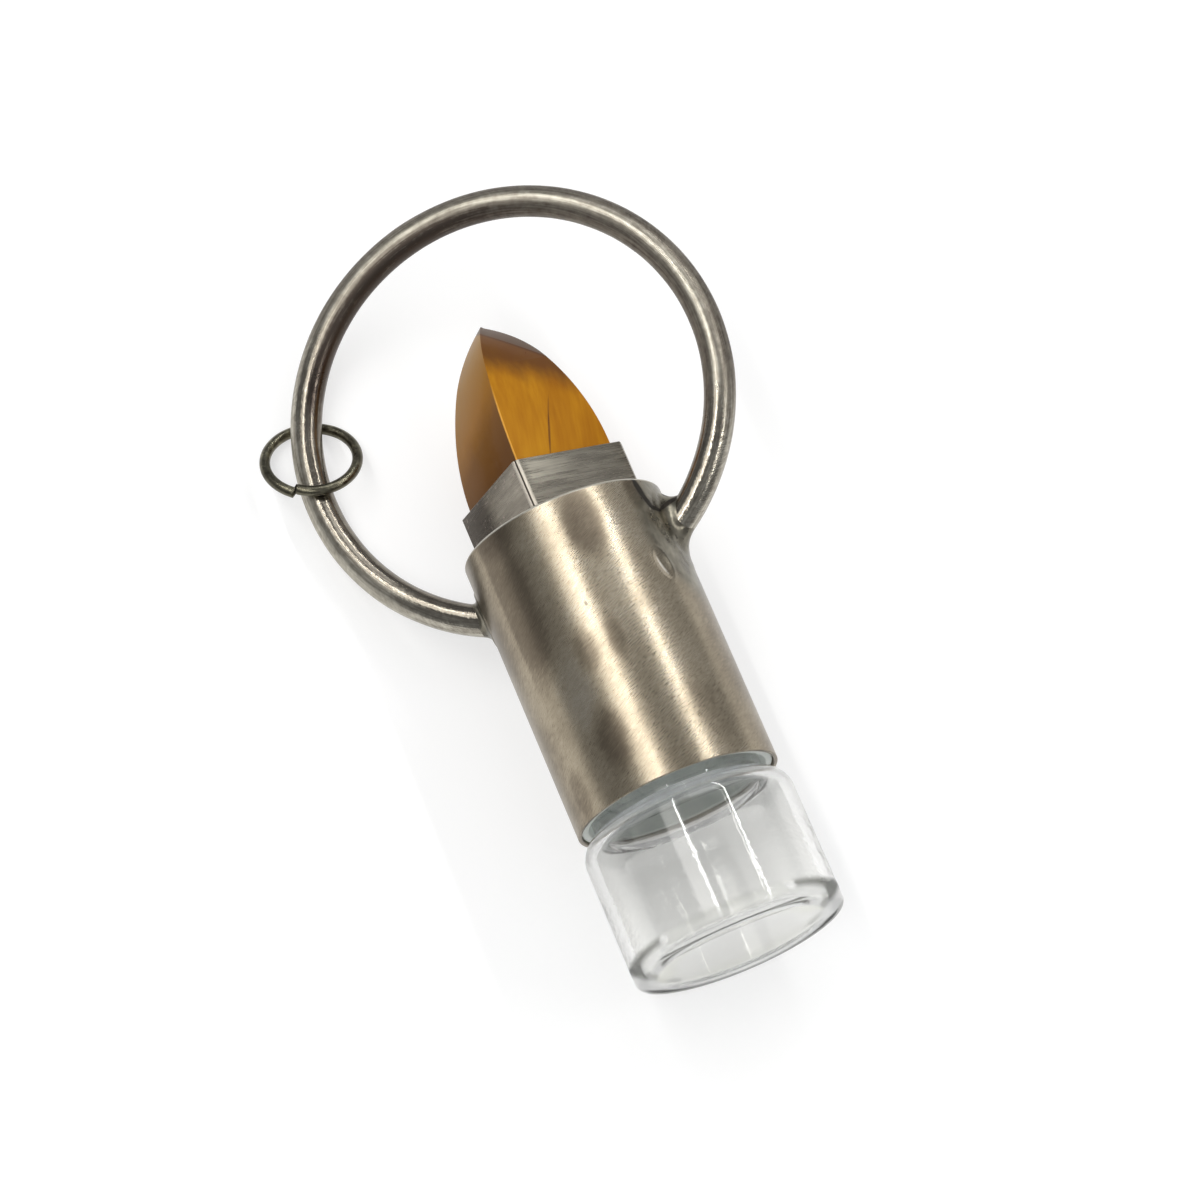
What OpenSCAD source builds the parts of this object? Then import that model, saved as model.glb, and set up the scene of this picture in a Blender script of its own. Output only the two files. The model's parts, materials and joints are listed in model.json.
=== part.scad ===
// Bottle pendant, lying on a table.
// A small glass vial screws into a brushed metal cap. The cap carries a square setting with a four-sided
// pointed stone, and a large wire hoop soldered to its sides. A loose jump ring hangs on the hoop.
// Every part is drawn upright, with the vial's base at height 0 and the stone on top, and then laid down.

/* [Vial] */
// Outside diameter of the vial's body
vial_d = 21.8; // [20:0.1:24]
// Thickness of the vial's side wall
vial_wall = 1.2; // [0.8:0.1:1.6]
// Height of the straight side, from the base
side_h = 12.6; // [8:0.1:40]
// Radius of the rounded edge round the base
base_round = 0.7; // [0.5:0.1:1.6]
// Width of the flat ring that the base stands on
foot_w = 0.7; // [0.5:0.1:1.6]
// Height of the hollow under the base
push_up = 0.8; // [0.3:0.1:1.2]
// Thickness of the domed base
floor_t = 0.9; // [0.7:0.1:2]
// Radius of the inner corner between wall and floor
floor_round = 0.7; // [0.4:0.1:1.6]
// Height of the rounded shoulder
shoulder_h = 2.4; // [2.2:0.1:4]
// Width of the rounded shoulder
shoulder_w = 1.4; // [0.8:0.1:1.8]
// How far the neck, at the root of its thread, stands in from the body
neck_step = 2.1; // [1.8:0.1:2.2]
// Thickness of the neck's wall
neck_wall = 0.8; // [0.6:0.05:1.2]
// Length of the neck above the shoulder
neck_h = 9.2; // [7:0.1:14]

/* [Thread] */
// Advance of the thread in one turn
thread_pitch = 3; // [2:0.1:4]
// Number of turns on the neck
thread_turns = 1.5; // [1:0.25:1.75]
// Height of the thread's ridge above the neck
thread_depth = 0.35; // [0.2:0.05:0.4]
// Width of the ridge at its foot
thread_foot = 1.3; // [0.8:0.1:1.6]
// Width of the ridge at its crest
thread_crest = 0.5; // [0.3:0.1:0.7]
// Distance from the vial's mouth to the middle of the first turn
thread_start = 1.6; // [1:0.1:2.2]

/* [Inner cap] */
// Thickness of the inner cap's side wall
liner_wall = 0.75; // [0.5:0.05:0.85]
// Thickness of the inner cap's top
liner_top = 1; // [0.6:0.1:2]
// How far the inner cap sits inside the metal cap's mouth
liner_set = 0.25; // [0.1:0.05:1]
// Gap between the thread's crest and the inner cap
thread_gap = 0.1; // [0.05:0.01:0.15]
// Thickness of the sealing disc over the vial's mouth
seal_t = 1; // [0.6:0.1:2]
// Small gap between pieces that sit against each other
fit_gap = 0.08; // [0.05:0.01:0.12]

/* [Metal cap] */
// Thickness of the metal cap's wall
cap_wall = 0.4; // [0.3:0.05:0.8]
// Length of the metal cap
cap_h = 30.1; // [24:0.1:45]
// Thickness of the plate that closes the metal cap
plate_t = 0.8; // [0.5:0.1:1.5]
// Bevel round the metal cap's top edge
cap_bevel = 0.2; // [0.1:0.05:0.4]
// Gap between the vial's shoulder and the metal cap's mouth
cap_gap = 0.9; // [0.4:0.1:2]

/* [Setting] */
// Outside width of the square setting
setting_w = 13; // [10:0.1:13.6]
// Height of the setting above the metal cap
setting_h = 5.6; // [3:0.1:8]
// Thickness of the setting's walls
setting_wall = 0.8; // [0.5:0.05:1]
// Width of the flat on each of the setting's corners
setting_flat = 0.6; // [0.4:0.1:1.6]

/* [Stone] */
// Height of the stone's point above the metal cap
stone_h = 23.25; // [20:0.05:30]
// Radius of the long curve of the stone's faces
stone_curve = 36.2; // [30:0.1:60]
// Height above the metal cap where the faces turn in more tightly to the point
stone_turn = 17.5; // [15:0.1:18.5]
// Width of the flat polished along each ridge
stone_flat = 0.3; // [0.1:0.05:0.8]
// Lean of the stone to one side, in degrees
stone_lean = 1.7; // [0:0.1:2]
// Gap between the stone and its setting
stone_gap = 0.12; // [0.08:0.01:0.2]

/* [Hoop] */
// Outside diameter of the hoop
hoop_d = 46.6; // [42:0.1:56]
// Thickness of the hoop's wire
hoop_wire = 3.2; // [2.4:0.1:3.6]
// Distance from the cap's top down to where the wire meets its side
joint_drop = 5.1; // [3.5:0.1:8]

/* [Solder] */
// Length of the large solder fillet down the cap's side
solder_big_l = 8.4; // [6:0.1:9]
// Length of the small solder fillet down the cap's side
solder_small_l = 4.8; // [4.2:0.1:6]
// Width of the large fillet round the cap
solder_big_w = 5.4; // [4.2:0.1:7]
// Width of the small fillet round the cap
solder_small_w = 4.2; // [3.8:0.1:6]
// How far the large fillet runs out along the wire
solder_big_out = 3.2; // [2:0.1:4]
// How far the small fillet runs out along the wire
solder_small_out = 1.6; // [1:0.1:3]
// How far the large fillet's middle lies below the joint
solder_big_low = 0.4; // [0:0.1:1.2]
// Hollowness of the fillets' curve, as a power of the distance along the wire
solder_power = 2.2; // [1:0.1:4]

/* [Jump ring] */
// Outside diameter of the jump ring
ring_d = 10.5; // [9.5:0.1:14]
// Thickness of the jump ring's wire
ring_wire = 1.1; // [0.8:0.05:1.3]
// Place of the jump ring round the hoop, up from its side, in degrees
ring_place = 13.5; // [0:0.5:30]
// Turn of the jump ring across the hoop's wire, in degrees
ring_twist = 31; // [0:1:36]
// How far the jump ring hangs inwards of the hoop's wire
ring_shift = 0.3; // [0:0.05:0.5]
// Gap between the jump ring and the hoop's wire
ring_gap = 0.2; // [0.2:0.01:0.35]
// Width of the cut in the jump ring
ring_cut = 0.15; // [0.1:0.05:0.4]
// Place of the cut round the jump ring, in degrees
ring_cut_at = 279; // [0:1:359]

/* [Hidden] */
$fn = 96;

// How far cutting shapes run past what they cut
over = 1;
// How far shapes that are joined run into each other
bite = 0.15;

// Vial
vial_r = vial_d / 2;
vial_in = vial_r - vial_wall;
neck_r = vial_r - neck_step;
bore_r = neck_r - neck_wall;
shoulder_z = side_h + shoulder_h;
mouth_z = shoulder_z + neck_h;
// Radius of the arc that the shoulder follows
shoulder_arc = (pow(shoulder_w, 2) + pow(shoulder_h, 2)) / (2 * shoulder_w);
foot_in = vial_r - base_round - foot_w;
push_arc = (pow(foot_in, 2) + pow(push_up, 2)) / (2 * push_up);
mouth_round = neck_wall * 0.4;

// Thread
crest_r = neck_r + thread_depth;
thread_steps = 24;
thread_fade = 1 / 6;

// Inner cap and metal cap, each fitted round the last
liner_in = crest_r + thread_gap;
liner_r = liner_in + liner_wall;
cap_in = liner_r + fit_gap;
cap_r = cap_in + cap_wall;
cap_z = shoulder_z + cap_gap;
cap_top = cap_z + cap_h;
liner_z = cap_z + liner_set;
seal_z = mouth_z + fit_gap;
liner_roof = seal_z + seal_t + fit_gap;
seal_r = liner_in - fit_gap;

// Setting and stone
setting_z = cap_top + setting_h;
stone_w = setting_w / 2 - setting_wall - stone_gap;
// Half width where the faces turn in, and the circle that carries them on to the point
turn_run = sqrt(pow(stone_curve, 2) - pow(stone_turn - setting_h, 2));
turn_w = stone_w - stone_curve + turn_run;
tip_h = stone_h - stone_turn;
tip_curve = stone_curve * (pow(turn_w, 2) + pow(tip_h, 2))
    / (2 * (turn_w * turn_run - tip_h * (stone_turn - setting_h)));
tip_mid_w = turn_w - tip_curve * turn_run / stone_curve;
tip_mid_h = stone_turn - tip_curve * (stone_turn - setting_h) / stone_curve;
long_steps = 12;
tip_steps = 12;
// Width left at the very point
point_flat = 0.1;

// Hoop
wire_r = hoop_wire / 2;
hoop_r = hoop_d / 2 - wire_r;
hoop_z = cap_top - joint_drop + sqrt(pow(hoop_r, 2) - pow(cap_r, 2));
joint_angle = asin(cap_r / hoop_r);
solder_sides = 24;
solder_steps = 9;

// Jump ring: the tilt at which it just clears the wire on both sides
ring_r = (ring_d - ring_wire) / 2;
ring_tilt = asin((wire_r + ring_wire / 2 + ring_gap) / (ring_r * cos(ring_twist)));
ring_turn = ring_place + ring_twist;
ring_x = ring_shift * cos(ring_turn) - hoop_r * cos(ring_place);
ring_z = hoop_z + hoop_r * sin(ring_place) - ring_shift * sin(ring_turn);
ring_normal = [
    sin(ring_tilt) * sin(ring_turn),
    -cos(ring_tilt),
    sin(ring_tilt) * cos(ring_turn)
];

// Lying down: the pitch that sets both the vial and the cap on the table
pitch = max(0, atan((vial_r - cap_r) / (cap_top - cap_bevel - side_h)));
axis_h = max(vial_r * cos(pitch) + side_h * sin(pitch), cap_r);

// A vector of the upright pendant as it lies, rolled by the angle roll
function laid_way(v, roll) =
    let (y = v[1] * cos(roll) - v[0] * sin(roll))
    [
        v[0] * cos(roll) + v[1] * sin(roll),
        v[2] * cos(pitch) - y * sin(pitch),
        -y * cos(pitch) - v[2] * sin(pitch)
    ];

// How far a circle of radius r and normal n reaches from its middle along axis i
function reach(n, r, i) = r * sqrt(1 - pow(n[i], 2));

// Height of the jump ring's underside, and of the hoop's, above the table
function ring_under(roll) =
    axis_h + laid_way([ring_x, 0, ring_z], roll)[2]
    - reach(laid_way(ring_normal, roll), ring_r, 2) - ring_wire / 2;
function hoop_under(roll) =
    axis_h + laid_way([0, 0, hoop_z], roll)[2]
    - reach(laid_way([0, -1, 0], roll), hoop_r, 2) - wire_r;

// The roll at which the first of them touches, found by halving
function settle(low, high, steps) =
    let (mid = (low + high) / 2)
    steps == 0 ? mid
    : min(ring_under(mid), hoop_under(mid)) > 0 ? settle(mid, high, steps - 1)
    : settle(low, mid, steps - 1);
roll = settle(0, 60, 30);

// Shift that puts the middle of the laid pendant's outline over the origin
laid_ring = laid_way(ring_normal, roll);
laid_hoop = laid_way([0, -1, 0], roll);
x_low = laid_way([ring_x, 0, 0], roll)[0] - reach(laid_ring, ring_r, 0) - ring_wire / 2;
x_high = reach(laid_hoop, hoop_r, 0) + wire_r;
y_low = base_round * cos(pitch) - (vial_r - base_round) * sin(pitch) - base_round;
y_high = laid_way([0, 0, hoop_z], roll)[1] + reach(laid_hoop, hoop_r, 1) + wire_r;
lie_at = [-(x_low + x_high) / 2, -(y_low + y_high) / 2, axis_h];

// Lays an upright shape down on the table
module laid()
    translate(lie_at)
        rotate([-90 - pitch, 0, 0])
            rotate([0, 0, -roll])
                children();

// Outline of the vial's outside, from the axis out
module vial_outside() {
    translate([0, base_round]) square([vial_r, side_h - base_round]);
    square([vial_r - base_round, base_round + bite]);
    translate([vial_r - base_round, base_round]) circle(r = base_round);
    intersection() {
        translate([vial_r - shoulder_arc, side_h]) circle(r = shoulder_arc);
        translate([0, side_h - bite]) square([vial_r, shoulder_h + bite]);
    }
    square([vial_r - shoulder_arc, shoulder_z]);
    square([neck_r, mouth_z - mouth_round]);
    square([neck_r - mouth_round, mouth_z]);
    translate([neck_r - mouth_round, mouth_z - mouth_round]) circle(r = mouth_round);
}

// Circle of radius r that the base's dome follows
module base_dome(r) translate([0, push_up - push_arc]) circle(r = r, $fn = 720);

// Outline of the vial's hollow, with a floor that is domed like the hollow under the base
module vial_inside() {
    shoulder_in = vial_in - bore_r;
    difference() {
        union() {
            translate([0, floor_t + floor_round]) square([vial_in, side_h - floor_t - floor_round]);
            translate([0, floor_t]) square([vial_in - floor_round, floor_round + bite]);
            translate([vial_in - floor_round, floor_t + floor_round]) circle(r = floor_round);
        }
        base_dome(push_arc + floor_t);
    }
    translate([vial_in - shoulder_in, side_h]) circle(r = shoulder_in);
    translate([0, side_h - bite]) square([bore_r, mouth_z - side_h + over]);
}

// Corners of the thread ridge's section at the turn t, fading out at both ends
function thread_section(t) =
    let (
        fade = min(1, t / thread_fade, (thread_turns - t) / thread_fade),
        z = mouth_z - thread_start - (thread_turns - t) * thread_pitch,
        out = neck_r - bite + (thread_depth + bite) * max(fade, 0.1),
        turn = 360 * t
    )
    [for (c = [
        [neck_r - 2 * bite, -thread_foot / 2],
        [out, -thread_crest / 2],
        [out, thread_crest / 2],
        [neck_r - 2 * bite, thread_foot / 2]
    ]) [c[0] * cos(turn), c[0] * sin(turn), z + c[1]]];

// Joins closed sections of equal size into a solid
module skin(sections) {
    n = len(sections[0]);
    last = len(sections) - 1;
    polyhedron(
        points = [for (s = sections) for (p = s) p],
        faces = concat(
            [[for (j = [n - 1 : -1 : 0]) j]],
            [for (i = [0 : last - 1]) for (j = [0 : n - 1]) each [
                [i * n + j, (i + 1) * n + (j + 1) % n, (i + 1) * n + j],
                [i * n + j, i * n + (j + 1) % n, (i + 1) * n + (j + 1) % n]
            ]],
            [[for (j = [0 : n - 1]) last * n + j]]
        ),
        convexity = 6
    );
}

// Clear glass vial with a hollow body, a push-up base and a threaded neck
module vial() {
    thread_count = ceil(thread_turns * thread_steps);
    color([0.86, 0.9, 0.89, 0.4])
    laid() {
        rotate_extrude()
            intersection() {
                difference() {
                    vial_outside();
                    vial_inside();
                    base_dome(push_arc);
                }
                square([vial_r, mouth_z]);
            }
        skin([for (i = [0 : thread_count]) thread_section(i * thread_turns / thread_count)]);
    }
}

// Pale inner cap, glued in the metal cap's mouth, that the vial screws into
module inner_cap() {
    color([0.72, 0.75, 0.75])
    laid()
        difference() {
            translate([0, 0, liner_z]) cylinder(r = liner_r, h = liner_roof + liner_top - liner_z);
            translate([0, 0, liner_z - over]) cylinder(r = liner_in, h = liner_roof - liner_z + over);
        }
}

// Bluish sealing disc between the vial's mouth and the inner cap
module seal_disc() {
    color([0.5, 0.57, 0.62])
    laid()
        translate([0, 0, seal_z]) cylinder(r = seal_r, h = seal_t);
}

// Corners of a square with its corners cut off, standing on one of them. Its half width is half.
function cut_square(half, flat) =
    let (cut = min(flat / sqrt(2), 0.6 * half))
    [for (k = [0 : 3]) each [
        turned([half, cut - half], 45 + 90 * k),
        turned([half, half - cut], 45 + 90 * k)
    ]];
function turned(p, a) = [p[0] * cos(a) - p[1] * sin(a), p[0] * sin(a) + p[1] * cos(a)];

// One oval section of a solder fillet, at the length s along the wire from the joint. Its share
// falls from 1 at the cap's side, where it stands upright, to 0 where it closes on the wire.
function solder_section(s, share, length, width, low) =
    let (
        a = joint_angle + s / hoop_r * 180 / PI,
        thin = wire_r - bite / 2,
        tall = thin + (length / 2 - thin) * share,
        wide = thin + (width / 2 - thin) * share,
        x = hoop_r * sin(a),
        z = hoop_z - hoop_r * cos(a) - low * share
    )
    [for (j = [0 : solder_sides - 1])
        let (u = 360 * j / solder_sides, v = tall * cos(u))
        [x - v * (1 - share) * sin(a), wide * sin(u), z + v * (share + (1 - share) * cos(a))]];

// Solder fillet where the wire meets the cap's right side
module solder(length, width, out, low) {
    dip = cap_r - sqrt(pow(cap_r, 2) - pow(width / 2, 2));
    skin(concat(
        [solder_section(-dip - wire_r / 2, 1, length, width, low)],
        [for (i = [0 : solder_steps])
            let (t = i / solder_steps)
            solder_section(t * (out + dip) - dip, pow(1 - t, solder_power), length, width, low)]
    ));
}

// Brushed metal cap with its hoop and setting, all soldered into one piece
module cap_frame() {
    color([0.58, 0.55, 0.49])
    laid()
        difference() {
            union() {
                translate([0, 0, cap_z]) cylinder(r = cap_r, h = cap_h - cap_bevel);
                translate([0, 0, cap_top - cap_bevel])
                    cylinder(r1 = cap_r, r2 = cap_r - cap_bevel, h = cap_bevel);
                translate([0, 0, cap_top - bite])
                    linear_extrude(setting_h + bite) polygon(cut_square(setting_w / 2, setting_flat));
                translate([0, 0, hoop_z])
                    rotate([90, 0, 0])
                        rotate_extrude() translate([hoop_r, 0]) circle(r = wire_r);
                solder(solder_big_l, solder_big_w, solder_big_out, solder_big_low);
                mirror([1, 0, 0]) solder(solder_small_l, solder_small_w, solder_small_out, 0);
            }
            translate([0, 0, cap_z - over]) cylinder(r = cap_in, h = cap_h - plate_t + over);
            translate([0, 0, cap_top])
                linear_extrude(setting_h + over)
                    rotate(45) square(setting_w - 2 * setting_wall, center = true);
        }
}

// Half width of the stone at the height h above the metal cap: upright in the setting, then a long
// arc, then a tighter one that meets it smoothly
function stone_half(h) =
    h <= setting_h ? stone_w
    : h <= stone_turn ? stone_w - stone_curve + sqrt(pow(stone_curve, 2) - pow(h - setting_h, 2))
    : max(point_flat / 2, tip_mid_w + sqrt(pow(tip_curve, 2) - pow(h - tip_mid_h, 2)));

// Outline of the stone at the height h above the metal cap
function stone_section(h) =
    let (lean = max(0, h - setting_h) * tan(stone_lean))
    [for (p = cut_square(stone_half(h), stone_flat)) [p[0] + lean, p[1], cap_top + h]];

// Four-sided pointed stone, with narrow flats polished along its ridges
module stone() {
    color([0.72, 0.44, 0.13])
    laid()
        skin(concat(
            [for (i = [tip_steps : -1 : 0])
                stone_section(stone_turn + tip_h * i / tip_steps)],
            [for (i = [long_steps - 1 : -1 : 0])
                stone_section(setting_h + (stone_turn - setting_h) * i / long_steps)],
            [stone_section(stone_gap)]
        ));
}

// Round wire ring, cut once, that leans on the hoop's wire with its back on the table
module jump_ring() {
    gap_turn = ring_cut / ring_r * 180 / PI;
    color([0.36, 0.34, 0.27])
    laid()
        translate([ring_x, 0, ring_z])
            rotate([0, ring_turn, 0])
                rotate([90 - ring_tilt, 0, 0])
                    rotate([0, 0, ring_cut_at + gap_turn / 2])
                        rotate_extrude(angle = 360 - gap_turn)
                            translate([ring_r, 0]) circle(d = ring_wire);
}

cap_frame();
stone();
inner_cap();
seal_disc();
vial();
jump_ring();
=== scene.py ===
"""The looks of a bottle pendant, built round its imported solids.

Each piece is modelled upright in millimetres, with the vial's base at height 0 and the stone on top, and
is then laid down where the solids lie.
"""

import json
import math

import bmesh
import bpy
from mathutils import Matrix, Quaternion, Vector, noise


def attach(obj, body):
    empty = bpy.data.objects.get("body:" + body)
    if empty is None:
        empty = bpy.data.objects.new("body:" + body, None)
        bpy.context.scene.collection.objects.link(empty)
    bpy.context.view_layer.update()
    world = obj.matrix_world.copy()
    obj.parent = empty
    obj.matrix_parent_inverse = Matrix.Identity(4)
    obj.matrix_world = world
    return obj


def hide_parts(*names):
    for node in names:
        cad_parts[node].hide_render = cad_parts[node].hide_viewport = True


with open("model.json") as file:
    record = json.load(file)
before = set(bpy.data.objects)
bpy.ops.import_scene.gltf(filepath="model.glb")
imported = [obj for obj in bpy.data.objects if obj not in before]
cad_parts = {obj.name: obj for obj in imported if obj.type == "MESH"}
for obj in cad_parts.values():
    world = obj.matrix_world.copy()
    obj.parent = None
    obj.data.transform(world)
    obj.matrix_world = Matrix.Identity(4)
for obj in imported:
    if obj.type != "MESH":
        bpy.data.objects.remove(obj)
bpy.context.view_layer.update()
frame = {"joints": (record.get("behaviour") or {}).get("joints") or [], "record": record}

MM = 0.001
ROUND = 256
JOIN_UNDER = 0.0005
SMOOTH_UNDER = math.radians(35)

# Vial, in millimetres
VIAL_R = 10.9
VIAL_WALL = 1.2
SIDE_H = 12.6
BASE_ROUND = 0.7
FOOT_W = 0.7
PUSH_UP = 0.8
FLOOR_T = 0.9
FLOOR_ROUND = 0.7
SHOULDER_H = 2.4
SHOULDER_W = 1.4
SHOULDER_ROUND = 0.2
NECK_R = 8.8
NECK_ROUND = 0.12
NECK_ROWS = 84
LIP_SHARE = 0.4
BORE_R = 8.0
BORE_ROUND = 0.5
MOUTH_Z = 24.2
THREAD_PITCH = 3.0
THREAD_TURNS = 1.5
THREAD_DEPTH = 0.35
THREAD_FOOT = 1.3
THREAD_CREST = 0.5
THREAD_START = 1.6
THREAD_FADE = 6

# Inner cap and sealing disc
LINER_IN = 9.25
LINER_R = 10.0
LINER_Z = 16.15
LINER_ROOF = 25.36
LINER_TOP = 26.36
LINER_ROUND = 0.3
LINER_RIM_ROUND = 0.15
SEAL_R = 9.17
SEAL_Z = 24.28
SEAL_T = 1.0
SEAL_ROUND = 0.15
GROOVE_OUT = 7.4
GROOVE_IN = 3.3
GROOVE_DEEP = 0.05

# Metal cap with its setting
CAP_R = 10.48
CAP_WALL = 0.4
CAP_Z = 15.9
CAP_TOP = 46.0
PLATE_T = 0.8
CAP_BEVEL = 0.28
CAP_MOUTH_BEVEL = 0.08
SETTING_W = 13.0
SETTING_H = 5.6
SETTING_WALL = 0.8
SETTING_FLAT = 0.6
SETTING_ROUND = 0.13
SETTING_WORN = 0.07
SETTING_SUNK = 0.15
POCKET_FLAT = 0.05
POCKET_ROUND = 0.04

# Dimple that the solder left on the cap's wall: its place round the cap, height and size
DIMPLE_AROUND = 10.62
DIMPLE_Z = 36.4
DIMPLE_W = 1.0
DIMPLE_H = 1.75
DIMPLE_LEAN = -0.12
DIMPLE_DEEP = 0.21
DIMPLE_RIM = 0.22
DIMPLE_ROWS = 20

# Stone
STONE_W = 5.58
STONE_H = 23.25
STONE_CURVE = 36.2
STONE_TURN = 17.5
STONE_LEAN = math.radians(1.7)
STONE_FOOT = 0.12
STONE_LEVELS = 72
STONE_TIP_EASE = 1.35
RIDGE_W = 0.14

# Bevel beside the stone's tip, painted with a grey sheen: a point of its lower edge, and the way across
# that edge
BEVEL_X = 0.52
BEVEL_H = 21.95
BEVEL_WAY = (0.687, 0.727)
BEVEL_PUSH = 0.3
BEVEL_SLOPE = 0.6

# Hoop, solder and jump ring
HOOP_R = 21.7
WIRE_R = 1.6
JOINT_Z = 40.9
HOOP_Z = JOINT_Z + math.sqrt(HOOP_R**2 - CAP_R**2)
HOOP_SWELL = 0.02
HOOP_RIPPLE = 0.006
WIRE_END_X = CAP_R - 1.4
SOLDER_INSET = 0.03
SOLDER_SUNK = 0.2
RING_R = 4.7
RING_WIRE_R = 0.55
RING_PLACE = math.radians(13.5)
RING_TWIST = math.radians(31)
RING_SHIFT = 0.3
RING_GAP = 0.2
RING_CUT_AT = math.radians(279)
RING_CUT = math.radians(1.8)
RING_STEP = 0.3
RING_END_BEVEL = 0.06

# A share of a turn above this is the start, that rounding has turned into a full turn
FULL_TURN = 0.9995


# The lie of the pendant, read from the frame


def lying_place():
    """Matrix that lays an upright model in millimetres down where the solids lie."""
    mounts = {mount["name"]: mount for mount in frame["record"]["mounts"]}
    up = -Vector(frame["joints"][0]["axis"])
    back = -Vector(mounts["hoop"]["axis"])
    side = back.cross(up)
    foot_middle = VIAL_R - BASE_ROUND - FOOT_W / 2
    foot = Vector(mounts["vial_base"]["pos_m"]) - side * foot_middle * MM
    turn = Matrix((side, back, up)).transposed()
    return Matrix.Translation(foot) @ turn.to_4x4() @ Matrix.Scale(MM, 4)


LYING = lying_place()


# Modelling helpers


def mode(name):
    """Goes to edit or to object mode."""
    bpy.ops.object.mode_set(mode=name)


def deselect_all():
    """Leaves edit mode and selects nothing."""
    if bpy.context.object and bpy.context.object.mode != "OBJECT":
        mode("OBJECT")
    bpy.ops.object.select_all(action="DESELECT")


def take_up(piece):
    """Makes a piece the only one selected, and the active one."""
    deselect_all()
    piece.select_set(True)
    bpy.context.view_layer.objects.active = piece


def pick(piece, parts, test):
    """In edit mode, selects the faces or edges of a piece that pass a test, and nothing else."""
    work = bmesh.from_edit_mesh(piece.data)
    for part in (*work.faces, *work.edges):
        part.select_set(False)
    bpy.context.tool_settings.mesh_select_mode = (False, parts == "edges", parts == "faces")
    for part in getattr(work, parts):
        if test(part):
            part.select_set(True)
    bmesh.update_edit_mesh(piece.data)


def edge_middle(edge):
    """The middle of an edge."""
    return (edge.verts[0].co + edge.verts[1].co) / 2


def edge_way(edge):
    """The way an edge runs, of length 1."""
    return (edge.verts[1].co - edge.verts[0].co).normalized()


def named(name):
    """Names the piece that was just added, puts its place into its mesh, and gives it back."""
    piece = bpy.context.object
    piece.name = piece.data.name = name
    bpy.ops.object.transform_apply(location=True, rotation=True, scale=True)
    return piece


def eased(share):
    """A share from 0 to 1, eased at both its ends."""
    return share * share * (3 - 2 * share)


def arc(middle, radius, start, end, steps):
    """Points (r, z) along an arc, with its angles in degrees."""
    angles = [math.radians(start + (end - start) * i / steps) for i in range(steps + 1)]
    return [(middle[0] + radius * math.cos(a), middle[1] + radius * math.sin(a)) for a in angles]


def added(name, data):
    """A new object in the scene, from its mesh, camera or light."""
    thing = bpy.data.objects.new(name, data)
    bpy.context.scene.collection.objects.link(thing)
    return thing


def begun(name, points, edges, faces):
    """A new piece from its points and the edges or faces between them, all selected in edit mode."""
    mesh = bpy.data.meshes.new(name)
    mesh.from_pydata(points, edges, faces)
    piece = added(name, mesh)
    take_up(piece)
    mode("EDIT")
    bpy.ops.mesh.select_all(action="SELECT")
    return piece


def face_outwards():
    """Turns the faces of the piece in edit mode outwards, and leaves edit mode."""
    bpy.ops.mesh.select_all(action="SELECT")
    bpy.ops.mesh.normals_make_consistent(inside=False)
    mode("OBJECT")


def spun(name, profile):
    """A turned piece, from an outline (r, z) that starts and ends on the axis."""
    edges = [(i, i + 1) for i in range(len(profile) - 1)]
    piece = begun(name, [(r, 0, z) for r, z in profile], edges, [])
    bpy.ops.mesh.spin(steps=ROUND, angle=math.tau, center=(0, 0, 0), axis=(0, 0, 1))
    bpy.ops.mesh.select_all(action="SELECT")
    bpy.ops.mesh.remove_doubles(threshold=JOIN_UNDER)
    face_outwards()
    return piece


def lofted(name, rings):
    """A closed piece through rings of points, each ring closed."""
    count = len(rings[0])
    points = [point for ring in rings for point in ring]
    last = len(points) - count
    faces = []
    for start in range(0, last, count):
        for j in range(count):
            k = (j + 1) % count
            faces.append((start + j, start + k, start + count + k, start + count + j))
    faces += [tuple(range(count)), tuple(range(last, last + count))]
    piece = begun(name, points, [], faces)
    face_outwards()
    return piece


def round_edges(piece, width, segments, sharper_than):
    """Rounds a piece's edges that are sharper than an angle."""
    rounding = piece.modifiers.new("rounding", "BEVEL")
    rounding.width = width
    rounding.segments = segments
    rounding.limit_method = "ANGLE"
    rounding.angle_limit = sharper_than
    take_up(piece)
    bpy.ops.object.modifier_apply(modifier=rounding.name)


def laid_down(piece, body, finish, slot, *nodes):
    """Lays a finished upright piece down, dresses it, ties it to its body, and hides the solids that it
    replaces.
    """
    take_up(piece)
    bpy.ops.object.shade_smooth_by_angle(angle=SMOOTH_UNDER)
    piece.data.transform(LYING)
    piece.data.materials.clear()
    piece.data.materials.append(finish)
    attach(piece, body)
    if nodes:
        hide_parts(*nodes)
    return piece


# Shader helpers


class Number:
    """A shader socket that Python's own operators work on, each adding a Math node."""

    def __init__(self, finish, socket):
        self.finish = finish
        self.socket = socket

    def calc(self, operation, *values):
        return self.finish.add("ShaderNodeMath", {"operation": operation}, dict(enumerate(values)))

    def __add__(self, other):
        return self.calc("ADD", self, other)

    def __radd__(self, other):
        return self.calc("ADD", other, self)

    def __sub__(self, other):
        return self.calc("SUBTRACT", self, other)

    def __rsub__(self, other):
        return self.calc("SUBTRACT", other, self)

    def __mul__(self, other):
        return self.calc("MULTIPLY", self, other)

    def __rmul__(self, other):
        return self.calc("MULTIPLY", other, self)

    def __truediv__(self, other):
        return self.calc("DIVIDE", self, other)

    def __pow__(self, other):
        return self.calc("POWER", self, other)

    def held(self):
        """The value held between 0 and 1."""
        return self.calc("MINIMUM", self.calc("MAXIMUM", self, 0.0), 1.0)

    def size(self):
        """The value without its sign."""
        return self.calc("ABSOLUTE", self)

    def angle(self, up):
        """The angle, in radians, of a direction that goes this far across and that far up."""
        return self.calc("ARCTAN2", self, up)


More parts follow.
